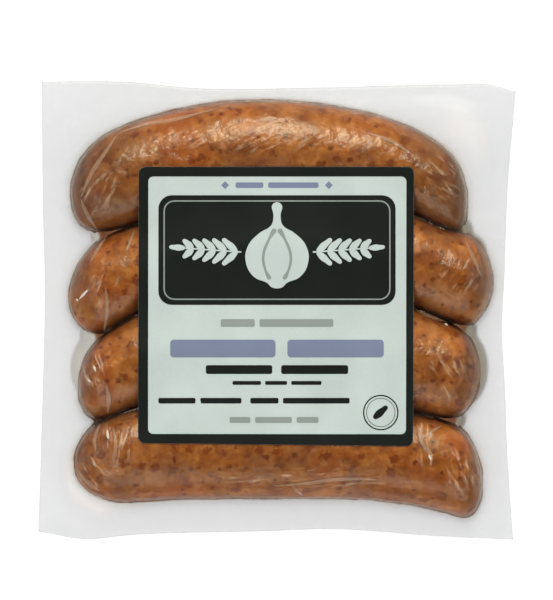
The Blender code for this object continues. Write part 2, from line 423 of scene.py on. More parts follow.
def markPaintedShade(pieces):
    # painted shade on each casing: darker the nearer a point is to another link, and towards the top link's ends
    look = linkLook
    search = look["shadeSearch"] * mm
    trees = []
    for piece in pieces:
        data = piece.data
        trees.append(BVHTree.FromPolygons([v.co for v in data.vertices], [list(f.vertices) for f in data.polygons]))
    for i, piece in enumerate(pieces):
        nearest = []
        for vertex in piece.data.vertices:
            away = search
            for k in (i - 1, i + 1):
                if 0 <= k < len(pieces):
                    hit = trees[k].find_nearest(vertex.co, search)
                    if hit[0] is not None:
                        away = min(away, hit[3])
            nearest.append(away / mm)
        link = look["links"][piece.name]
        reach = link.get("shadeReach", look["shadeReach"])
        share = 1 - smoothStep(look["touching"], reach, np.array(nearest))
        fromMiddle = np.abs(meshPoints(piece)[:, 0]) / mm
        endShading = link.get("endShade", 0) * smoothStep(*look["endShadeFrom"], fromMiddle)
        storeMark(piece, "paintedShade", np.maximum(share, endShading))


casing = casingMaterial()
links = []
for linkName, linkSetting in linkLook["links"].items():
    linkPiece = modelLink(linkName, linkSetting)
    linkPiece.data.materials.append(casing)
    links.append(linkPiece)
markPaintedShade(links)
print("links modelled")


# the film

filmLook = {
    # the sealed rim's edges from above, corner to corner
    "top": ((-79.9, 77.8), (-50.0, 77.6), (-29.6, 75.7), (14.6, 75.8), (58.8, 76.8), (72.4, 76.7), (81.0, 74.3)),
    "bottom": ((-81.0, -75.0), (-65.3, -77.6), (-50.0, -76.3), (-4.1, -75.0), (16.3, -74.3), (55.4, -76.7),
               (80.2, -77.8)),
    "left": ((-75.0, -81.0), (-37.2, -79.9), (-13.4, -79.2), (4.3, -78.9), (37.6, -79.6), (77.8, -79.9)),
    "right": ((-77.8, 80.2), (-47.4, 78.2), (-27.0, 77.5), (-6.6, 76.5), (13.8, 77.4), (37.6, 78.2), (74.3, 81.0)),
    "rimZ": 13.6,
    "rimHalfThickness": 0.13,
    "rimReach": (80, 77),  # the waves are full this far out
    "ripple": 0.8,
    "rippleLength": (21, 26),  # along X and Y
    "curl": 2.3,
    "curlReach": 34.0,
    # where the two films part round the links: a crease along a rounded rectangle
    "pocket": (-75.6, 75.0, -72.6, 73.4, 18.0),  # left, right, low, high, corner radius
    "pocketRise": 0.4,
    "cornerRise": 2.2,
    "riseReach": 5.0,
    "skirtHeight": 0.8,
    "skirtReach": 2.6,
    "edgeShade": (0.75, 1.0),  # painted shade where the film leaves a link: how strong, and how far out
    "webShade": 0.8,  # how strong the painted shade on the webs is
    "leftSlack": 0.5,  # the slack film's haze and painted shade are weaker at the left ends
    "crevice": 2.2,  # half the width of the gaps between links that get painted dark shade
    # slack film off the ends of the links: middle, then reach along X, Y and Z
    "webs": (
        (-58.4, 25.3, 5.2, 5.0, 3.4), (-60.6, -8.0, 6.6, 5.4, 3.8), (-58.0, -38.6, 5.6, 5.0, 3.4),
        (61.0, 26.5, 5.8, 6.0, 3.8), (61.5, -6.6, 6.6, 6.0, 3.8), (58.6, -36.9, 5.8, 4.8, 3.4),
        (-61.5, -19.6, 9.0, 13.0, 3.2), (62.4, -19.6, 9.6, 14.0, 3.6), (66.0, 18.5, 5.6, 7.6, 3.8),
    ),
    # gaps over which the film turns slack, shows a web, a crevice, or leaves off being flat
    "slackGap": (1.0, 3.0),
    "webGap": (0.3, 1.0),
    "creviceGap": (0.3, 1.4),
    "flatGap": (1.5, 5.0),
    "mapReach": (82, 79),
    "mapStep": 0.25,
    "offset": 0.3,  # film over casing
    "fillet": 1.1,  # how tightly the film is drawn into a crevice
    "blur": 0.32,
    "columns": 214,
    "rows": 206,
    "evening": 5,  # rounds of evening out the sheets' points
    "eveningShare": 0.6,
    "relaxing": 6,  # and of relaxing them in each round
    "relaxShare": 0.4,
    "lowestZ": 0.05,
}


def rimHeights(x, y):
    # the rim waves slowly and lifts at two opposite corners
    look = filmLook
    reachX, reachY = look["rimReach"]
    lengthX, lengthY = look["rippleLength"]
    outward = np.clip(np.maximum(np.abs(x) / reachX, np.abs(y) / reachY), 0, 1) ** 3
    wave = np.sin(x / lengthX + 0.8) * np.cos(y / lengthY - 0.5)
    curl = 0
    for cornerX, cornerY in (look["top"][-1], look["bottom"][0]):
        away = np.hypot(x - cornerX, y - cornerY)
        curl = curl + np.clip(1 - away / look["curlReach"], 0, 1) ** 2
    return look["rimZ"] + look["ripple"] * wave * outward + look["curl"] * curl


def pocketRise(x, y):
    # how far each film parts from the rim's level inside the crease, most at two corners
    look = filmLook
    left, right, low, high, radius = look["pocket"]
    pastX = np.abs(x - (left + right) / 2) - (right - left) / 2 + radius
    pastY = np.abs(y - (low + high) / 2) - (high - low) / 2 + radius
    inside = radius - np.hypot(np.maximum(pastX, 0), np.maximum(pastY, 0)) - np.minimum(np.maximum(pastX, pastY), 0)
    corner = smoothStep(-0.5, 1.2, (pastX + pastY) / radius) * (x * y > 0)
    rise = look["pocketRise"] + (look["cornerRise"] - look["pocketRise"]) * corner
    return rise * (1 - np.exp(-np.maximum(inside, 0) / look["riseReach"]))


def webHeight(x, y):
    # half the height of the slack webs over the rim's level
    height = np.zeros(np.shape(x))
    for middleX, middleY, alongX, alongY, alongZ in filmLook["webs"]:
        share = 1 - ((x - middleX) / alongX) ** 2 - ((y - middleY) / alongY) ** 2
        height = np.maximum(height, alongZ * np.maximum(share, 0) ** 0.6)
    return blurred(height, 0.8)


def mapAxes():
    step = filmLook["mapStep"]
    return [np.arange(-reach, reach + step, step) for reach in filmLook["mapReach"]]


def castOnto(pieces, direction):
    # height of the pieces under each point of the map, and where there is none
    points, faces = [], []
    for piece in pieces:
        start = len(points)
        points += [vertex.co for vertex in piece.data.vertices]
        faces += [[start + i for i in face.vertices] for face in piece.data.polygons]
    tree = BVHTree.FromPolygons(points, faces)
    xs, ys = mapAxes()
    heights = np.full((len(ys), len(xs)), np.nan)
    ray = Vector((0, 0, direction))
    for j, y in enumerate(ys):
        for i, x in enumerate(xs):
            hit = tree.ray_cast(Vector((x * mm, y * mm, -0.1 * direction)), ray)[0]
            if hit is not None:
                heights[j, i] = hit.z / mm
    return heights


def shifted(heights, dj, di):
    return np.roll(np.roll(heights, dj, axis=0), di, axis=1)


def blurred(heights, sigma):
    reach = int(3 * sigma / filmLook["mapStep"]) + 1
    offsets = np.arange(-reach, reach + 1)
    weights = np.exp(-0.5 * (offsets * filmLook["mapStep"] / sigma) ** 2)
    weights /= weights.sum()
    for axis in (0, 1):
        heights = sum(w * np.roll(heights, k, axis=axis) for k, w in zip(offsets, weights))
    return heights


def distanceFrom(mask, reach=12):
    # rough distance in mm from the marked points, as far as the reach
    far = 99.0
    diagonal = 1.414
    away = np.where(mask, 0.0, far)
    step = filmLook["mapStep"]
    for _ in range(int(reach / step)):
        for dj, di in ((1, 0), (-1, 0), (0, 1), (0, -1), (1, 1), (1, -1), (-1, 1), (-1, -1)):
            length = diagonal if dj and di else 1.0
            away = np.minimum(away, shifted(away, dj, di) + length * step)
    return away


def drawOver(heights, radius):
    # a taut film over the heights, which bends into a crevice no more tightly than the radius
    return -puffed(-puffed(heights, radius), radius)


def puffed(heights, radius):
    # the surface a ball of this radius makes when it rolls over the heights
    step = filmLook["mapStep"]
    reach = int(radius / step) + 1
    raised = heights + radius
    for dj in range(-reach, reach + 1):
        for di in range(-reach, reach + 1):
            square = radius ** 2 - (dj ** 2 + di ** 2) * step ** 2
            if square >= 0:
                raised = np.fmax(raised, shifted(heights, dj, di) + math.sqrt(square))
    return raised


def readMap(heights, x, y):
    # the map's value between its points
    xs, ys = mapAxes()
    step = filmLook["mapStep"]
    u = np.clip((x - xs[0]) / step, 0, len(xs) - 1.001)
    v = np.clip((y - ys[0]) / step, 0, len(ys) - 1.001)
    i, j = u.astype(int), v.astype(int)
    u, v = u - i, v - j
    low = heights[j, i] * (1 - u) + heights[j, i + 1] * u
    high = heights[j + 1, i] * (1 - u) + heights[j + 1, i + 1] * u
    return low * (1 - v) + high * v


foldLook = {
    "sink": 0.22,  # height of a fold as a share of its half width
    "step": 0.9,
    "drawnOut": 0.22,  # across against along in a pucker's pattern
    # folds of doubled film from above: the line of each and its half width
    "folds": (
        (((-66.3, 38.2), (-62.5, 46.5), (-58.0, 53.5), (-54.0, 59.5)), 0.58),
        (((-54.0, 59.8), (-47.3, 62.3), (-43.2, 63.4), (-38.8, 63.8), (-26.2, 66.8), (-20.1, 68.5)), 0.44),
        (((-66.3, 37.6), (-63.6, 31.4), (-61.2, 27.8)), 0.55),
        (((-48.3, 27.0), (-49.8, 22.8), (-50.8, 20.2)), 0.45),
        (((-57.8, 7.6), (-57.3, 0.0), (-58.6, -7.0)), 0.60),
        (((-62.9, 16.5), (-60.2, 21.4), (-57.5, 25.7)), 0.45),
        (((-57.5, -25.3), (-56.8, -30.0), (-57.2, -34.4)), 0.65),
        (((-67.6, -54.2), (-64.8, -57.5), (-60.2, -61.0)), 0.50),
        (((47.4, -38.9), (48.6, -43.5), (51.6, -49.0)), 0.60),
        (((47.8, -43.9), (51.0, -41.6), (55.4, -39.1)), 0.50),
        (((-1.0, -59.3), (9.5, -58.4), (20.4, -57.0), (33.3, -57.0)), 0.50),
        (((5.2, -59.2), (7.2, -61.4), (8.6, -62.6)), 0.42),
        (((47.0, 0.2), (52.0, -2.0), (57.1, -3.9)), 0.48),
        (((31.6, 59.7), (38.6, 57.2), (45.2, 52.9)), 0.50),
        (((-55.4, -39.6), (-54.4, -45.4), (-55.0, -51.0)), 0.55),
        (((-60.0, -38.6), (-61.6, -43.2), (-61.2, -47.8)), 0.45),
        (((63.6, 24.0), (66.4, 17.4), (69.0, 11.6)), 0.45),
    ),
    # small pleats, whose milky paleness is partly painted highlight
    "pleats": (
        (((-66.8, 4.0), (-65.4, 5.4), (-63.9, 7.0)), 0.36),
        (((-67.2, 3.2), (-68.0, 4.0)), 0.24),
        (((-61.9, -18.6), (-61.2, -20.4)), 0.30),
        (((-63.9, -23.2), (-62.9, -24.2)), 0.26),
        (((-57.4, -40.4), (-57.0, -43.4)), 0.34),
        (((56.8, -4.4), (57.8, -5.0)), 0.30),
        (((60.6, -38.2), (61.6, -39.4)), 0.30),
        (((51.2, -48.6), (52.0, -50.4)), 0.34),
    ),
    # puckered places: middle, reach, how strong and the way the pleats lean
    "puckers": (
        ((50.6, -44.6), (7.5, 9.5), 1.0, 98), ((-54.4, -44.6), (8.5, 9.0), 1.0, 84),
        ((-61.6, -20.0), (5.0, 9.0), 0.8, 108), ((-62.5, -55.0), (6.0, 7.0), 0.8, 128),
        ((62.5, -54.0), (7.0, 10.0), 0.8, 112), ((62.0, 12.0), (9.0, 11.0), 0.5, 60),
        ((-60.0, 40.0), (9.0, 12.0), 0.4, 55), ((56.0, 45.0), (10.0, 10.0), 0.4, 140),
        ((-58.0, 10.0), (7.0, 12.0), 0.45, 65), ((58.0, -22.0), (9.0, 12.0), 0.45, 120),
        ((-10.0, 58.0), (46.0, 6.0), 0.42, 28), ((10.0, -57.0), (46.0, 5.0), 0.5, 4),
    ),
}


def modelFolds(name, folds, top):
    # tubes along the lines, then flattened onto the film
    curve = bpy.data.curves.new(name, "CURVE")
    curve.dimensions = "3D"
    curve.bevel_depth = 1.0 * mm
    curve.bevel_resolution = 2
    curve.use_fill_caps = True
    for line, width in folds:
        line = np.array(line)
        passed = np.concatenate(([0], np.cumsum(np.linalg.norm(np.diff(line, axis=0), axis=1))))
        count = max(6, int(passed[-1] / foldLook["step"]))
        along = np.linspace(0, passed[-1], count)
        xs, ys = smoothThrough(passed, line[:, 0])(along), smoothThrough(passed, line[:, 1])(along)
        zs = readMap(top, xs, ys)
        spline = curve.splines.new("POLY")
        spline.points.add(count - 1)
        for i, point in enumerate(spline.points):
            swell = 0.12 + 0.88 * math.sin(math.pi * (i + 0.5) / count)
            point.co = (xs[i] * mm, ys[i] * mm, zs[i] * mm, 1)
            point.radius = 1.3 * width * swell * (1 + 0.15 * math.sin(2.7 * i + 9 * line[0, 0]))
    piece = bpy.data.objects.new(name, curve)
    bpy.context.scene.collection.objects.link(piece)
    onlySelect(piece)
    bpy.ops.object.convert(target="MESH")
    piece = bpy.context.object
    points = meshPoints(piece)
    surface = readMap(top, points[:, 0] / mm, points[:, 1] / mm) * mm
    points[:, 2] = surface + (points[:, 2] - surface) * foldLook["sink"]
    setPoints(piece, points)
    bpy.ops.object.shade_smooth()
    return piece


def filmMaps():
    xs, ys = mapAxes()
    gridX, gridY = np.meshgrid(xs, ys)
    rim = rimHeights(gridX, gridY)
    meatTop = castOnto(links, -1)
    meatUnder = castOnto(links, 1)
    look = filmLook
    bare = np.isnan(meatTop)
    away = distanceFrom(~bare)
    skirt = look["skirtHeight"] * np.exp(-away / look["skirtReach"])
    webs = webHeight(gridX, gridY)
    parting = np.maximum(pocketRise(gridX, gridY) + skirt, webs)
    top = np.fmax(puffed(meatTop, look["offset"]), rim + parting)
    top = drawOver(top, look["fillet"])
    top = blurred(top, look["blur"])
    under = np.fmin(-puffed(-meatUnder, look["offset"]), rim - parting)
    under = -drawOver(-under, look["fillet"])
    under = np.maximum(blurred(under, look["blur"]), look["lowestZ"])
    top = np.maximum(top, rim + look["rimHalfThickness"])
    under = np.minimum(under, rim - look["rimHalfThickness"])
    gap = np.where(bare, (top - under) / 3, top - np.where(bare, 0, meatTop) - look["offset"])
    # mask for haze and painted shade: slack film, webs and the film just off a link's edge
    webbed = look["webShade"] * smoothStep(*look["webGap"], webs)
    slackAndShade = np.where(bare, np.maximum(smoothStep(*look["slackGap"], gap), webbed), 0)
    slackAndShade = slackAndShade * np.where(gridX < 0, look["leftSlack"], 1)
    edgeShade, edgeReach = look["edgeShade"]
    slackAndShade = np.maximum(slackAndShade, np.where(bare, edgeShade * np.exp(-away / edgeReach), 0))
    # painted shade: narrow gaps between links, and the film drawn into them, are marked for a dark brown tint
    fromOpen = distanceFrom(away > look["crevice"])
    crevice = blurred(np.where(bare, fromOpen > look["crevice"], smoothStep(*look["creviceGap"], gap)), 0.3)
    flat = blurred(bare.astype(float), 0.5) * (1 - smoothStep(*look["flatGap"], top - under)) * (1 - crevice)
    return top, under, {"slackAndShade": slackAndShade, "flat": flat, "crevice": crevice}


def puckerMaps(x, y):
    # how puckered the film is at each point, and coordinates drawn out along the pleats there
    strength, place = np.zeros(x.shape), np.zeros((len(x), 3))
    for middle, reach, share, lean in foldLook["puckers"]:
        turn = math.radians(lean)
        away = np.hypot((x - middle[0]) / reach[0], (y - middle[1]) / reach[1])
        weight = share * (1 - smoothStep(0.35, 1.0, away))
        along, across = x * math.cos(turn) + y * math.sin(turn), y * math.cos(turn) - x * math.sin(turn)
        here = weight > strength
        strength = np.maximum(strength, weight)
        place[here] = np.stack((along * foldLook["drawnOut"], across, 0 * x), axis=1)[here] * mm
    return strength, place


def rimGrid():
    # points of the square between its four edges, row by row
    look = filmLook
    edges = {key: smoothThrough(*zip(*look[key])) for key in ("top", "bottom", "left", "right")}
    u = np.linspace(0, 1, look["columns"])[None, :, None]
    v = np.linspace(0, 1, look["rows"])[:, None, None]

    def alongX(key, share):
        x = look[key][0][0] + (look[key][-1][0] - look[key][0][0]) * share[..., 0]
        return np.stack((x, edges[key](x)), axis=-1)

    def alongY(key, share):
        y = look[key][0][0] + (look[key][-1][0] - look[key][0][0]) * share[..., 0]
        return np.stack((edges[key](y), y), axis=-1)

    low, high, left, right = alongX("bottom", u), alongX("top", u), alongY("left", v), alongY("right", v)
    blend = (1 - v) * low + v * high + (1 - u) * left + u * right
    corners = (1 - u) * (1 - v) * low[:, :1] + u * (1 - v) * low[:, -1:]
    corners = corners + (1 - u) * v * high[:, :1] + u * v * high[:, -1:]
    return blend - corners


def onSurface(points, heights):
    points[..., 2] = readMap(heights, points[..., 0], points[..., 1])
    return points


def evenedRows(points, share):
    # points move along their own row towards equal steps on the surface; the sheet's border stays
    moved = points.copy()
    count = points.shape[1]
    uniform = np.linspace(0, 1, count)
    for i in range(1, len(points) - 1):
        steps = np.linalg.norm(np.diff(points[i], axis=0), axis=1)
        passed = np.concatenate(([0], np.cumsum(steps)))
        passed = share * passed / passed[-1] + (1 - share) * uniform
        for axis in (0, 1):
            moved[i, :, axis] = np.interp(uniform, passed, points[i, :, axis])
    return moved


def spreadOver(grid, heights):
    # the grid's points slide along the surface until they are evenly spaced on it
    look = filmLook
    share = look["eveningShare"]
    points = onSurface(np.dstack((grid, grid[..., 0])), heights)
    for _ in range(look["evening"]):
        points = onSurface(evenedRows(points, share), heights)
        points = onSurface(evenedRows(points.transpose(1, 0, 2), share).transpose(1, 0, 2), heights)
        for _ in range(look["relaxing"]):
            middle = points[1:-1, 1:-1]
            mean = (points[:-2, 1:-1] + points[2:, 1:-1] + points[1:-1, :-2] + points[1:-1, 2:]) / 4
            middle[..., :2] += look["relaxShare"] * (mean - middle)[..., :2]
            onSurface(points, heights)
    return points


def sheetPiece(name, points):
    # a plain grid whose points are moved to their places on the surface
    rows, columns = points.shape[:2]
    clearSelection()
    bpy.ops.mesh.primitive_grid_add(x_subdivisions=columns - 1, y_subdivisions=rows - 1, size=2)
    piece = bpy.context.object
    piece.name = name
    plain = meshPoints(piece).round(5)
    order = np.lexsort((plain[:, 0], plain[:, 1]))
    plain[order] = points.reshape(-1, 3) * mm
    setPoints(piece, plain)
    return piece


def modelFilm():
    # an upper and an under sheet over the links, sealed to each other along the rim
    top, under, marks = filmMaps()
    grid = rimGrid()
    piece = joined([sheetPiece("upper", spreadOver(grid, top)), sheetPiece("under", spreadOver(grid, under))],
                   "filmPack")
    bpy.ops.object.mode_set(mode="EDIT")
    bpy.ops.mesh.select_mode(type="EDGE")
    bpy.ops.mesh.select_all(action="DESELECT")
    bpy.ops.mesh.select_non_manifold()
    bpy.ops.mesh.bridge_edge_loops()
    bpy.ops.mesh.select_all(action="SELECT")
    bpy.ops.mesh.normals_make_consistent(inside=False)
    bpy.ops.object.mode_set(mode="OBJECT")
    bpy.ops.object.shade_smooth()
    x, y = meshPoints(piece)[:, 0] / mm, meshPoints(piece)[:, 1] / mm
    for name, heights in marks.items():
        storeMark(piece, name, readMap(heights, x, y))
    pucker, puckerPlace = puckerMaps(x, y)
    storeMark(piece, "pucker", pucker)
    drawn = piece.data.attributes.new("puckerPlace", "FLOAT_VECTOR", "POINT")
    drawn.data.foreach_set("vector", puckerPlace.ravel().astype(np.float32))
    return piece, top


clarityLook = {
    "waveScale": 120,
    "crinkleScale": 480,
    "crinkle": 0.38,
    "relief": 0.00047,
    "roughness": (0.17, 0.29),
    "rimRoughness": 0.20,  # the rim's shine is spread wider by this much
    "clear": (0.95, 0.95, 0.95),
    "rimClear": (0.932, 0.932, 0.937),
    # painted shade: see-through colour of slack film and of film leaving a link
    "slackShadeTint": (0.36, 0.36, 0.30),
    # painted shade and painted reflection in the crevices between links
    "creviceShadeTint": (0.39, 0.205, 0.108),
    "glint": (1.0, 0.92, 0.80),
    "creviceShadeGlint": (0.50, 0.30, 0.17),
    # cream milk over the links; on the pucker ridges it is partly painted highlight
    "milk": (0.96, 0.70, 0.47),
    "rimMilk": (0.65, 0.66, 0.70),
    # share of milky film
    "slackHaze": 0.07,
    "patchHaze": 0.012,
    "rimHaze": 0.15,
    "pleatHazeAndHighlight": 0.52,
    "patchScale": 210,
    "pleatScale": 620,
    "pleatHeight": 1.6,
    "packIor": 1.38,
    # folds and pleats: share of milky film, its colour and how strongly the film shines; the milk is partly painted
    # highlight
    "doubled": (0.15, (0.78, 0.48, 0.30), 1.22),
    "pleated": (0.45, (1.00, 0.88, 0.76), 1.30),
}


def filmReliefGroup():
    # soft waves and fine crinkles of taut film
    tree, inputs, outputs = newGroup("filmRelief", ("Crinkle",), ("Height", "Roughness"))
    place = objectPlace(tree)
    waves = noiseNode(tree, place, clarityLook["waveScale"], 3, 0.5, 0.8)
    fine = noiseNode(tree, place, clarityLook["crinkleScale"], 2)
    tree.links.new(sumNode(tree, waves, scaledNode(tree, fine, inputs["Crinkle"])), outputs["Height"])
    tree.links.new(rangeNode(tree, waves, 0.3, 0.7, *clarityLook["roughness"]), outputs["Roughness"])
    return tree


filmRelief = filmReliefGroup()


def filmMaterial(name, milkiness, milkColour, ior):
    # clear film: almost all see-through, with a glossy front and a share of milky film
    look = clarityLook
    material, tree, gloss = newMaterial(name)
    relief = addNode(tree, "ShaderNodeGroup", {"Crinkle": look["crinkle"]}, node_tree=filmRelief).outputs
    bump = addNode(tree, "ShaderNodeBump", {"Strength": 1.0, "Distance": look["relief"], "Height": relief["Height"]})
    gloss.inputs["Base Color"].default_value = (*look["glint"], 1)
    gloss.inputs["Metallic"].default_value = 1
    tree.links.new(relief["Roughness"], gloss.inputs["Roughness"])
    tree.links.new(bump.outputs["Normal"], gloss.inputs["Normal"])
    clear = addNode(tree, "ShaderNodeBsdfTransparent", {"Color": (*look["clear"], 1)})
    mirror = addNode(tree, "ShaderNodeFresnel", {"IOR": ior, "Normal": bump.outputs["Normal"]}).outputs[0]
    shine = addNode(tree, "ShaderNodeMixShader", {0: mirror, 1: clear.outputs[0], 2: gloss.outputs[0]}).outputs[0]
    milk = addNode(tree, "ShaderNodeBsdfPrincipled", {"Base Color": (*milkColour, 1), "Roughness": 0.45})
    whole = addNode(tree, "ShaderNodeMixShader", {0: milkiness, 1: shine, 2: milk.outputs[0]})
    tree.links.new(whole.outputs[0], tree.nodes["Material Output"].inputs["Surface"])
    return material, {"gloss": gloss, "clear": clear, "milk": milk, "whole": whole, "bump": bump}


def packFilm():
    # the pack's own film carries painted shade, greyer where it hangs slack or leaves a link and dark brown in the
    # crevices between links, and is milky with a soft shine where the two sheets lie flat on each other
    look = clarityLook
    material, nodes = filmMaterial("clearFilm", 0.0, look["rimMilk"], look["packIor"])
    tree = material.node_tree
    place = objectPlace(tree)
    slackAndShade, flat, crevice, pucker = (markNode(tree, name) for name in ("slackAndShade", "flat", "crevice", "pucker"))
    drawn = markNode(tree, "puckerPlace", "Vector")
    tint = mixColours(tree, slackAndShade, look["clear"], look["slackShadeTint"])
    tint = mixColours(tree, flat, tint, look["rimClear"], "MULTIPLY")
    # painted shade: the see-through colour is greyed where slack or off a link, and dark brown in crevices
    tree.links.new(mixColours(tree, crevice, tint, look["creviceShadeTint"]), nodes["clear"].inputs["Color"])
    glint = mixColours(tree, flat, look["glint"], (1.0, 1.0, 1.0))
    # painted reflection: the shine is browned in the crevices
    tree.links.new(mixColours(tree, crevice, glint, look["creviceShadeGlint"]), nodes["gloss"].inputs["Base Color"])
    satin = nodes["gloss"].inputs["Roughness"]
    spread = scaledNode(tree, flat, look["rimRoughness"])
    tree.links.new(sumNode(tree, satin.links[0].from_socket, spread), satin)
    # pleats: fine ridges drawn out along the pull of the film; their milky paleness is partly painted highlight
    streak = noiseNode(tree, drawn, look["pleatScale"], 3, 0.55, 0.35)
    ridge = scaledNode(tree, rangeNode(tree, streak, 0.54, 0.70), pucker)
    patches = rangeNode(tree, noiseNode(tree, place, look["patchScale"], 3, 0.6, 0.5), 0.42, 0.68)
    haze = sumNode(tree, *(scaledNode(tree, mask, look[share]) for mask, share in (
        (slackAndShade, "slackHaze"), (patches, "patchHaze"), (flat, "rimHaze"), (ridge, "pleatHazeAndHighlight"))))
    tree.links.new(haze, nodes["whole"].inputs[0])
    milk = mixColours(tree, flat, look["milk"], look["rimMilk"])
    tree.links.new(milk, nodes["milk"].inputs["Base Color"])
    lift = scaledNode(tree, scaledNode(tree, streak, pucker), look["pleatHeight"])
    height = nodes["bump"].inputs["Height"]
    tree.links.new(sumNode(tree, height.links[0].from_socket, lift), height)
    return material


film, filmTop = modelFilm()
film.data.materials.append(packFilm())
foldBeads = modelFolds("filmFolds", foldLook["folds"], filmTop)
foldBeads.data.materials.append(filmMaterial("doubledFilm", *clarityLook["doubled"])[0])
pleatBeads = modelFolds("filmPleats", foldLook["pleats"], filmTop)
pleatBeads.data.materials.append(filmMaterial("pleatedFilm", *clarityLook["pleated"])[0])
print("film drawn over the links")


# the label

labelLook = {
    "corners": ((-46.9, -44.7), (45.9, -45.7), (46.2, 48.5), (-46.6, 48.5)),  # going round from the low left
    "cornerRadius": 2.3,
    "thickness": 0.12,
    "bend": 150.0,  # radius of its hang between the links' crests
    "hangSteps": 380,
    "mapLow": -46.2,  # how far its height is worked out along Y, and to each side along X
    "mapHigh": 49.0,
    "mapSide": 47.6,
    "evenOut": 1.2,
    "clearance": 0.02,
    # cuts across it, so that it bends: axis, first, last and step
    "cuts": ((1, -46.0, 49.0, 1.6), (0, -47.0, 47.0, 3.2)),
    "cornerSteps": 6,
    "inkRise": 0.025,
    "inkThickness": 0.05,
}


def labelMap(top):
    # underside of the label: it rests on the crests and hangs between them
    look = labelLook
    xs, ys = mapAxes()
    heights = np.full(top.shape, np.nan)
    rows = np.flatnonzero((ys > look["mapLow"]) & (ys < look["mapHigh"]))
    y = ys[rows]
    centres = np.linspace(y[0] - look["bend"] / 2, y[-1] + look["bend"] / 2, look["hangSteps"])
    bowls = (y[:, None] - centres) ** 2 / (2 * look["bend"])
    for i in np.flatnonzero(np.abs(xs) < look["mapSide"]):
        resting = (top[rows, i][:, None] - bowls).max(axis=0)
        heights[rows, i] = (resting + bowls).min(axis=1)
    # a stiff sheet also evens out along the links
    filled = np.where(np.isnan(heights), 0, heights)
    weight = (~np.isnan(heights)).astype(float)
    even = blurred(filled, look["evenOut"]) / np.maximum(blurred(weight, look["evenOut"]), 1e-6)
    return np.where(weight > 0, even, 0)


labelUnder = labelMap(filmTop)
labelUnder += max(0.05, float(np.max((filmTop - labelUnder)[labelUnder > 0]))) + labelLook["clearance"]


def labelSurface(x, y):
    return readMap(labelUnder, x, y) + labelLook["thickness"]


def flatShape(corners, radius):
    # a flat shape with rounded corners, from a plane whose corners are moved
    clearSelection()
    bpy.ops.mesh.primitive_plane_add(size=2)
    piece = bpy.context.object
    order = sorted(piece.data.vertices, key=lambda v: math.atan2(v.co.y, v.co.x))
    for vertex, (x, y) in zip(order, corners):
        vertex.co = (x * mm, y * mm, 0)
    if radius > 0:
        bpy.ops.object.mode_set(mode="EDIT")
        bpy.ops.mesh.select_all(action="SELECT")
        bpy.ops.mesh.bevel(affect="VERTICES", offset=radius * mm, offset_type="OFFSET",
                           segments=labelLook["cornerSteps"])
        bpy.ops.object.mode_set(mode="OBJECT")
    return piece


def bar(x, y, width, height, radius):
    w, h = width / 2, height / 2
    return flatShape(((x - w, y - h), (x + w, y - h), (x + w, y + h), (x - w, y + h)), radius)


def hollow(piece, thickness):
    # leaves only a band of this width along the shape's edge
    onlySelect(piece)
    bpy.ops.object.mode_set(mode="EDIT")
    bpy.ops.mesh.select_all(action="SELECT")
    bpy.ops.mesh.inset(thickness=thickness * mm, use_even_offset=True)
    bpy.ops.mesh.delete(type="FACE")
    bpy.ops.object.mode_set(mode="OBJECT")
    return piece


def disc(x, y, radius):
    clearSelection()
    bpy.ops.mesh.primitive_circle_add(vertices=40, radius=radius * mm, fill_type="NGON",
                                      location=(x * mm, y * mm, 0))
    bpy.ops.object.transform_apply(location=True)
    return bpy.context.object


def outlined(points, mirrored=False):
    # a filled shape inside a smooth closed curve through the points
    if mirrored:
        points = list(points) + [(-x, y) for x, y in reversed(points) if abs(x) > 1e-6]
    curve = bpy.data.curves.new("outline", "CURVE")
    curve.dimensions = "2D"
    curve.fill_mode = "BOTH"
    curve.resolution_u = 6
    spline = curve.splines.new("BEZIER")
    spline.bezier_points.add(len(points) - 1)
    for point, (x, y) in zip(spline.bezier_points, points):
        point.co = (x * mm, y * mm, 0)
        point.handle_left_type = point.handle_right_type = "AUTO"
    spline.use_cyclic_u = True
    piece = bpy.data.objects.new("outline", curve)
    bpy.context.scene.collection.objects.link(piece)
    onlySelect(piece)
    bpy.ops.object.convert(target="MESH")
    return bpy.context.object


def moved(piece, x=0.0, y=0.0, turn=0.0, scale=1.0):
    onlySelect(piece)
    piece.location = (x * mm, y * mm, 0)
    piece.rotation_euler = (0, 0, math.radians(turn))
    piece.scale = (scale, scale, 1)
    bpy.ops.object.transform_apply(location=True, rotation=True, scale=True)
    return piece


def layOnLabel(piece, rise, thickness):
    # cut across both ways, laid on the label's surface and given its thickness downwards
    onlySelect(piece)
    bpy.ops.object.mode_set(mode="EDIT")
    for axis, place, high, step in labelLook["cuts"]:
        normal = (0, 1, 0) if axis else (1, 0, 0)
        while place < high:
            point = (0, place * mm, 0) if axis else (place * mm, 0, 0)
            bpy.ops.mesh.select_all(action="SELECT")
            bpy.ops.mesh.bisect(plane_co=point, plane_no=normal)
            place += step
    bpy.ops.object.mode_set(mode="OBJECT")
    points = meshPoints(piece)
    points[:, 2] = (labelSurface(points[:, 0] / mm, points[:, 1] / mm) + rise) * mm
    setPoints(piece, points)
    shell = bmesh.new()
    shell.from_mesh(piece.data)
    bmesh.ops.remove_doubles(shell, verts=shell.verts, dist=0.002 * mm)
    for face in shell.faces:
        if face.normal.z < 0:
            face.normal_flip()
    shell.to_mesh(piece.data)
    shell.free()
    wall = piece.modifiers.new("wall", "SOLIDIFY")
    wall.thickness = thickness * mm
    wall.offset = -1
    wall.use_even_offset = False
    applyModifiers(piece)
    bpy.ops.object.shade_smooth_by_angle(angle=math.radians(35))
    return piece


paperLook = {
    "cloudScale": 60,
    "fibreScale": 2600,
    "cloudTone": 0.6,  # the mottle is this share cloud, the rest fibre
    "roughnessSwing": 0.05,
    "relief": 0.00005,
    "specular": 0.12,
    # roughness, and how strong the mottle is
    "sheet": (0.42, 0.03),
    "ink": (0.38, 0.02),
}


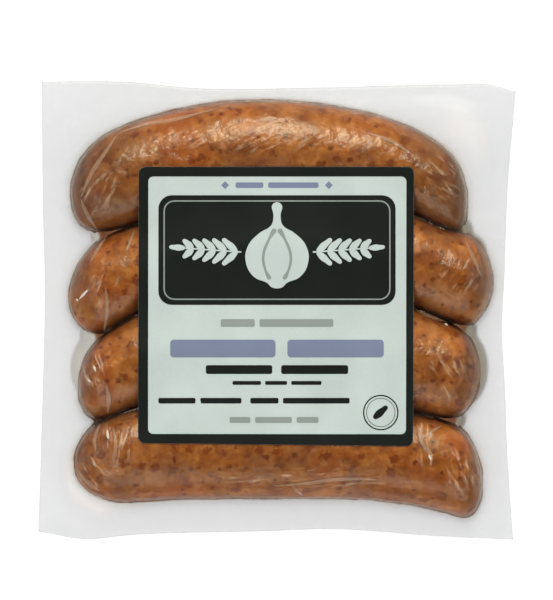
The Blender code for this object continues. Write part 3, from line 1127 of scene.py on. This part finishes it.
def paperFibreGroup():
    # faint fibre mottle of coated label stock
    look = paperLook
    tree, inputs, outputs = newGroup("paperFibre", ("Base Colour", "Mottle", "Satin"),
                                     ("Colour", "Roughness", "Height"))
    place = objectPlace(tree)
    cloud = noiseNode(tree, place, look["cloudScale"], 3)
    fibre = noiseNode(tree, place, look["fibreScale"], 2)
    tone = blendNode(tree, cloud, fibre, look["cloudTone"])
    swing = scaledNode(tree, rangeNode(tree, tone, 0.3, 0.7, -3, 3), inputs["Mottle"])
    brightness = sumNode(tree, swing, 1.0)
    toned = addNode(tree, "ShaderNodeVectorMath", {0: inputs["Base Colour"], "Scale": brightness}, operation="SCALE")
    tree.links.new(toned.outputs[0], outputs["Colour"])
    worn = rangeNode(tree, cloud, 0.3, 0.7, -look["roughnessSwing"], look["roughnessSwing"])
    tree.links.new(sumNode(tree, inputs["Satin"], worn), outputs["Roughness"])
    tree.links.new(fibre, outputs["Height"])
    return tree


paperFibre = paperFibreGroup()


def coatedPaper(name, colour, satin, mottle):
    # printed, coated label stock
    material, tree, shader = newMaterial(name)
    stock = addNode(tree, "ShaderNodeGroup", {"Base Colour": (*colour, 1), "Mottle": mottle, "Satin": satin},
                    node_tree=paperFibre).outputs
    bump = addNode(tree, "ShaderNodeBump",
                   {"Strength": 0.12, "Distance": paperLook["relief"], "Height": stock["Height"]})
    tree.links.new(stock["Colour"], shader.inputs["Base Color"])
    tree.links.new(stock["Roughness"], shader.inputs["Roughness"])
    tree.links.new(bump.outputs["Normal"], shader.inputs["Normal"])
    shader.inputs["Specular IOR Level"].default_value = paperLook["specular"]
    return material


printLook = {
    "ground": (0.418, 0.476, 0.466),
    "dark": (0.0070, 0.0090, 0.0078),
    "line": (0.215, 0.244, 0.229),
    "blue": (0.152, 0.176, 0.262),
    "borderInner": ((-43.5, -41.6), (43.5, -41.7), (43.65, 45.2), (-43.4, 45.2)),
    "innerRadius": 1.7,
    "panel": (0.0, 20.4, 80.0, 37.0, 4.5),  # x, y, width, height, corner radius
    "keylineInset": 1.7,
    "keylineWidth": 0.45,
    "seal": (35.0, -34.4),
    "sealRings": ((6.0, 0.45), (4.9, 0.2)),  # radius and width of each
    "bulbDrop": 1.2,  # under the panel's middle
    "bulbScale": 1.5,
    # where each line of type stood: its middle, height, corner radius and the span of each word
    "darkLines": (
        (-19.9, 3.0, 0.7, ((-24.0, -1.6), (1.4, 24.0))),
        (-24.4, 1.3, 0.4, ((-15.0, -5.4), (-4.0, 3.4), (4.8, 15.0))),
        (-30.4, 1.9, 0.5, ((-40.0, -27.5), (-26.0, -12.0), (-9.0, 0.5), (2.0, 24.5))),
    ),
    "blueLines": (
        (-12.8, 6.0, 1.2, ((-36.0, -0.5), (3.5, 36.0))),
        (42.3, 1.9, 0.6, ((-14.0, -4.6), (-3.0, 14.0))),
    ),
    "paleLines": (
        (-4.2, 2.6, 0.5, ((-19.0, -7.5), (-5.9, 19.0))),
        (-36.9, 2.0, 0.5, ((-16.0, -9.0), (-7.4, 5.0), (6.6, 14.0))),
    ),
    "diamonds": (17.5, 42.3, 1.9),  # how far out, how high up and how wide
}


def labelSheet():
    piece = flatShape(labelLook["corners"], labelLook["cornerRadius"])
    piece.name = "labelSheet"
    layOnLabel(piece, 0, labelLook["thickness"])
    piece.data.materials.append(coatedPaper("labelPaper", printLook["ground"], *paperLook["sheet"]))
    return piece


def borderBand():
    # the dark band between the label's own edge and a rounded inner edge
    outer = flatShape([(x * 0.9995, y * 0.9995) for x, y in labelLook["corners"]], labelLook["cornerRadius"])
    inner = flatShape(printLook["borderInner"], printLook["innerRadius"])
    both = joined([outer, inner], "printBorder")
    onlySelect(both)
    bpy.ops.object.mode_set(mode="EDIT")
    bpy.ops.mesh.select_all(action="SELECT")
    bpy.ops.mesh.delete(type="ONLY_FACE")
    bpy.ops.mesh.select_all(action="SELECT")
    bpy.ops.mesh.bridge_edge_loops()
    bpy.ops.object.mode_set(mode="OBJECT")
    return both


def garlicBulb(x, y, scale):
    # half of a bulb's outline, from the stem down to the root
    half = ((0.9, 11.2), (0.8, 8.4), (1.3, 6.4), (4.0, 4.6), (6.6, 1.6), (7.0, -2.0), (5.2, -5.2), (2.2, -6.6),
            (1.1, -7.6))
    return moved(outlined(half, mirrored=True), x, y, 0, scale)


def cloveLine(x, y, scale, side):
    # a thin lens along a clove's edge
    points = ((0.35 * side, 5.6), (2.1 * side, 3.2), (3.4 * side, -0.6), (2.9 * side, -3.6), (1.5 * side, -5.8),
              (2.4 * side, -3.5), (2.8 * side, -0.6), (1.6 * side, 3.0))
    return moved(outlined(points), x, y, 0, scale)


def leaf(x, y, turn, length, width):
    points = ((0, 0), (length * 0.3, width * 0.42), (length * 0.62, width * 0.38), (length, 0),
              (length * 0.62, -width * 0.38), (length * 0.3, -width * 0.42))
    return moved(outlined(points), x, y, turn)


def sprig(side, centreY):
    # leaves in pairs along a slightly rising stem
    pieces = [moved(bar(0, 0, 19.0, 0.5, 0.2), side * 21.5, centreY, side * 4)]
    for i in range(5):
        along = 13.5 + 3.7 * i
        stemY = centreY + (along - 21.5) * 0.07
        length = 6.6 - 0.5 * i
        for up in (1, -1):
            turn = 42 * up
            turn = turn if side > 0 else 180 - turn
            pieces.append(leaf(side * along, stemY, turn, length, 2.6))
    pieces.append(leaf(side * 31.0, centreY + 0.7, 4 if side > 0 else 176, 5.4, 2.3))
    return pieces


def wordBars(lines):
    # each line of type stands as plain blocks, one per word
    return [bar((low + high) / 2, y, high - low, height, radius)
            for y, height, radius, spans in lines for low, high in spans]


def modelPrint():
    look = printLook
    x, y, width, height, radius = look["panel"]
    inset = look["keylineInset"]
    sealX, sealY = look["seal"]
    bulb = (0, y - look["bulbDrop"], look["bulbScale"])
    outX, outY, diamond = look["diamonds"]
    dark = [bar(x, y, width, height, radius)] + wordBars(look["darkLines"])
    dark += [hollow(disc(sealX, sealY, ring), band) for ring, band in look["sealRings"]]
    dark += [leaf(sealX - 2.4, sealY - 2.0, 42, 6.2, 2.8)]
    blue = wordBars(look["blueLines"])
    blue += [moved(bar(0, 0, diamond, diamond, 0), side * outX, outY, 45) for side in (1, -1)]
    line = [hollow(bar(x, y, width - 2 * inset, height - 2 * inset, radius - inset * 0.5), look["keylineWidth"])]
    line += wordBars(look["paleLines"]) + [cloveLine(*bulb, 1), cloveLine(*bulb, -1)]
    pale = [garlicBulb(*bulb)] + sprig(1, y) + sprig(-1, y)
    rise = labelLook["inkRise"]
    made = [
        (joined(dark, "printDark"), rise, look["dark"]),
        (borderBand(), rise, look["dark"]),
        (joined(blue, "printBlue"), rise, look["blue"]),
        (joined(pale, "printPale"), 2 * rise, look["ground"]),
        (joined(line, "printLine"), 3 * rise, look["line"]),
    ]
    inks = {}
    pieces = []
    for piece, height, colour in made:
        layOnLabel(piece, height, labelLook["inkThickness"])
        if colour not in inks:
            inks[colour] = coatedPaper(piece.name.replace("print", "ink"), colour, *paperLook["ink"])
        piece.data.materials.append(inks[colour])
        pieces.append(piece)
    return pieces


label = labelSheet()
prints = modelPrint()
print("label laid and printed")


# what rides and what stands for what

for piece in links:
    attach(piece, "root")
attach(film, "root")
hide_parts("pouch")
for piece in (foldBeads, pleatBeads):
    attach(piece, "root")
for piece in [label, *prints]:
    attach(piece, "root")
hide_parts("label")


# floor, light and camera

stageLook = {
    "floorSize": 6.0,
    "floorColour": (0.15, 0.15, 0.15, 1),
    "floorGlow": 0.90,
    "zenith": 0.14,
    "horizon": 0.50,
    # place, size, watts and colour of each soft light
    "lights": {
        "softbox": ((0.03, 1.16, 1.38), (0.42, 1.20), 26.5, (1.00, 1.00, 0.87)),
        "glint": ((-0.20, 0.92, 1.50), (0.10, 0.10), 0.8, (1.00, 1.00, 1.00)),
        "sideLeft": ((-1.35, 0.10, 1.00), (1.00, 1.00), 3.5, (1.00, 1.00, 1.00)),
        "sideRight": ((1.35, 0.10, 1.00), (1.00, 1.00), 3.5, (1.00, 1.00, 1.00)),
        "front": ((0.00, -1.45, 1.15), (2.20, 1.00), 12.5, (1.00, 1.00, 1.00)),
        "cornerFill": ((-0.75, -0.75, 1.45), (0.30, 0.30), 3.0, (1.00, 1.00, 1.00)),
    },
    "imageCentre": (-0.17, 3.57),  # where the picture's middle falls, in mm
    "imageHeight": 204.0,
    "cameraHeight": 1.8,
    "sensor": 36,
}

clearSelection()
bpy.ops.mesh.primitive_plane_add(size=stageLook["floorSize"], location=(0, 0, 0))
floor = bpy.context.object
floor.name = "floor"
floorMaterial, floorTree, floorShader = newMaterial("floorPaper")
floorShader.inputs["Base Color"].default_value = stageLook["floorColour"]
floorShader.inputs["Roughness"].default_value = 0.7
floorShader.inputs["Emission Color"].default_value = (1, 1, 1, 1)
floorShader.inputs["Emission Strength"].default_value = stageLook["floorGlow"]
floor.data.materials.append(floorMaterial)

for name, (place, size, watts, colour) in stageLook["lights"].items():
    lamp = bpy.data.objects.new(name, bpy.data.lights.new(name, "AREA"))
    lamp.data.shape = "RECTANGLE"
    lamp.data.size, lamp.data.size_y = size
    lamp.data.energy = watts
    lamp.data.color = colour
    lamp.location = place
    lamp.rotation_euler = (-lamp.location).to_track_quat("-Z", "Y").to_euler()
    bpy.context.scene.collection.objects.link(lamp)

world = bpy.data.worlds.new("studio")
bpy.context.scene.world = world
world.use_nodes = True
sky = world.node_tree
direction = addNode(sky, "ShaderNodeTexCoord").outputs["Generated"]
upward = addNode(sky, "ShaderNodeSeparateXYZ", {0: direction}).outputs["Z"]
nearHorizon = mathNode(sky, "SUBTRACT", 1.0, scaledNode(sky, upward, upward))
strength = sumNode(sky, scaledNode(sky, nearHorizon, stageLook["horizon"]), stageLook["zenith"])
sky.links.new(strength, sky.nodes["Background"].inputs["Strength"])
sky.nodes["Background"].inputs["Color"].default_value = (1, 1, 1, 1)

camera = bpy.data.objects.new("camera", bpy.data.cameras.new("camera"))
centreX, centreY = stageLook["imageCentre"]
aboveRim = stageLook["cameraHeight"] - filmLook["rimZ"] * mm
camera.location = (centreX * mm, centreY * mm, stageLook["cameraHeight"])
camera.data.sensor_width = stageLook["sensor"]
camera.data.lens = stageLook["sensor"] * aboveRim / (stageLook["imageHeight"] * mm)
camera.data.clip_end = 20
bpy.context.scene.collection.objects.link(camera)
bpy.context.scene.camera = camera
bpy.context.scene.view_settings.view_transform = "Standard"
print("stage set")
